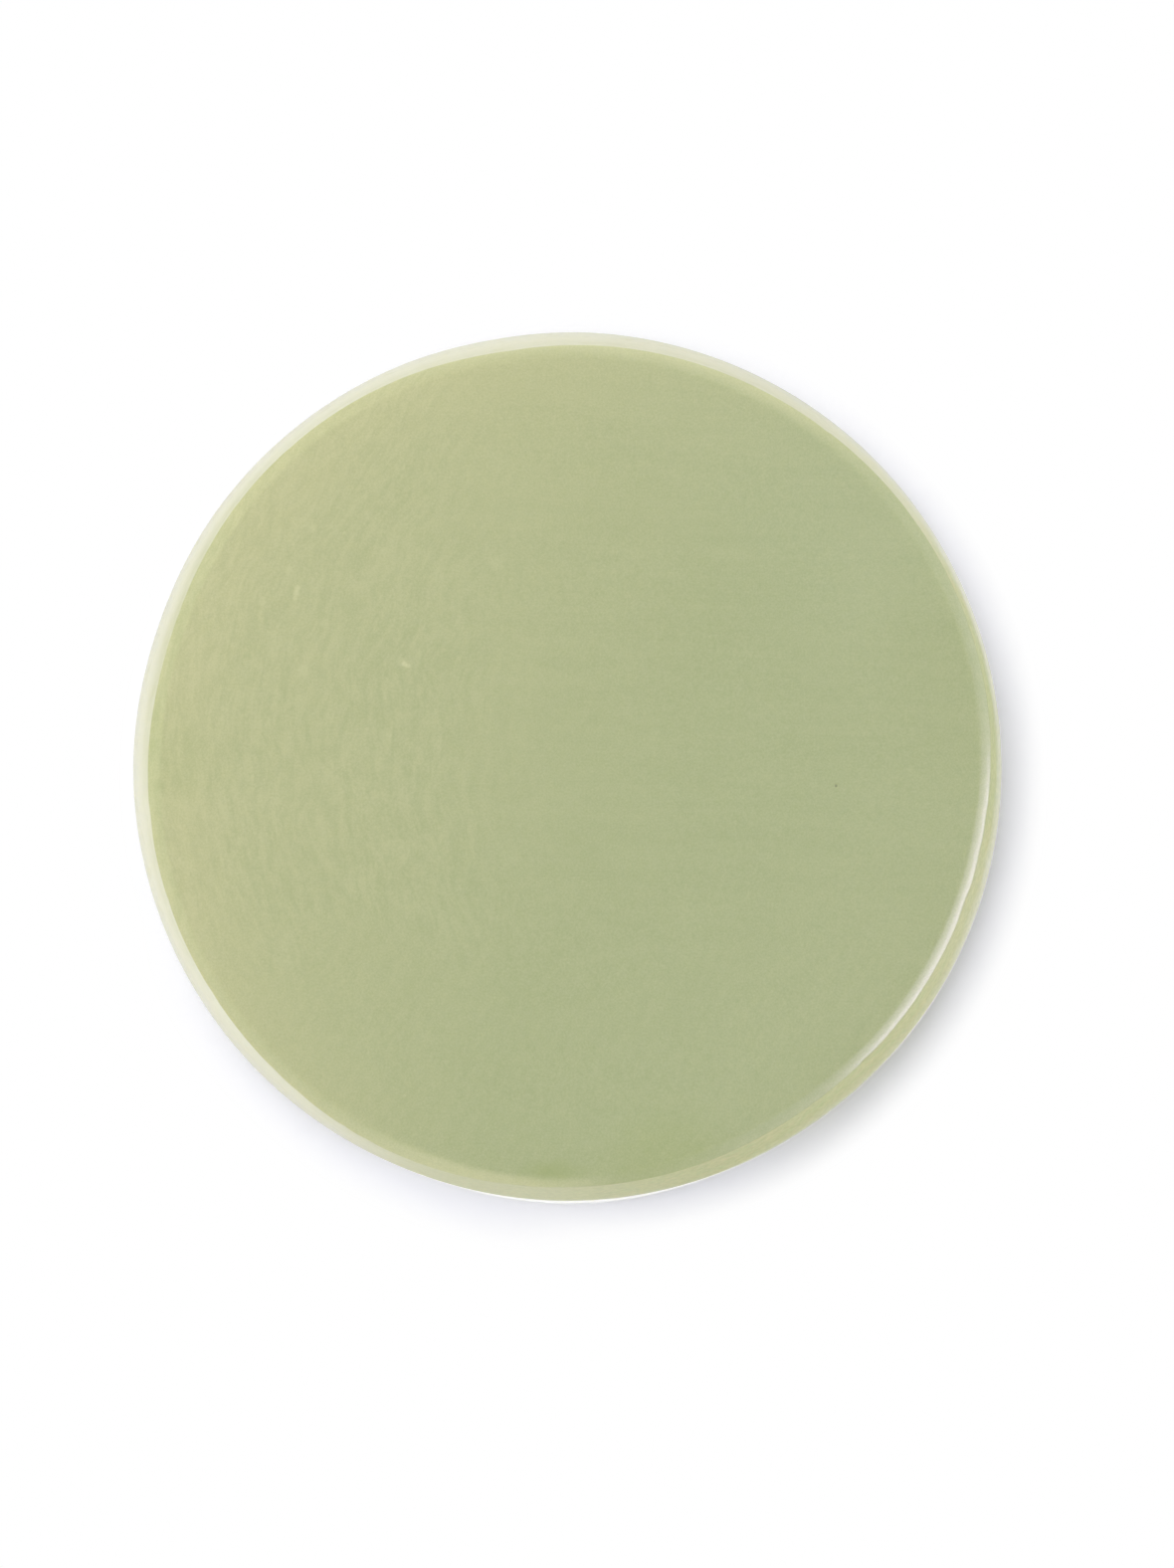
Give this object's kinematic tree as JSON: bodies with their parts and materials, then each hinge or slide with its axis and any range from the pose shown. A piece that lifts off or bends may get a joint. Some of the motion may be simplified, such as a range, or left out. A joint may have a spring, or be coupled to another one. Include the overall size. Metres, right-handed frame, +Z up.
{
  "type": "shaving soap puck",
  "caption": "Round puck of hard shaving soap with a shallow crowned face, worn rounded edges, a leaning side wall and a flat base; the refill for a shaving bowl.",
  "frame": {"origin": "middle of the flat face that the puck rests on", "axes": "+Z up along the axis of the puck, through the crowned face that the brush works on; X and Y are level and alike, since the puck is round"},
  "size_m": [0.0704, 0.0704, 0.0165],
  "materials": {
    "soap": "satin"
  },
  "bodies": {
    "root": {"soap_puck": "soap"}
  },
  "joints": []
}
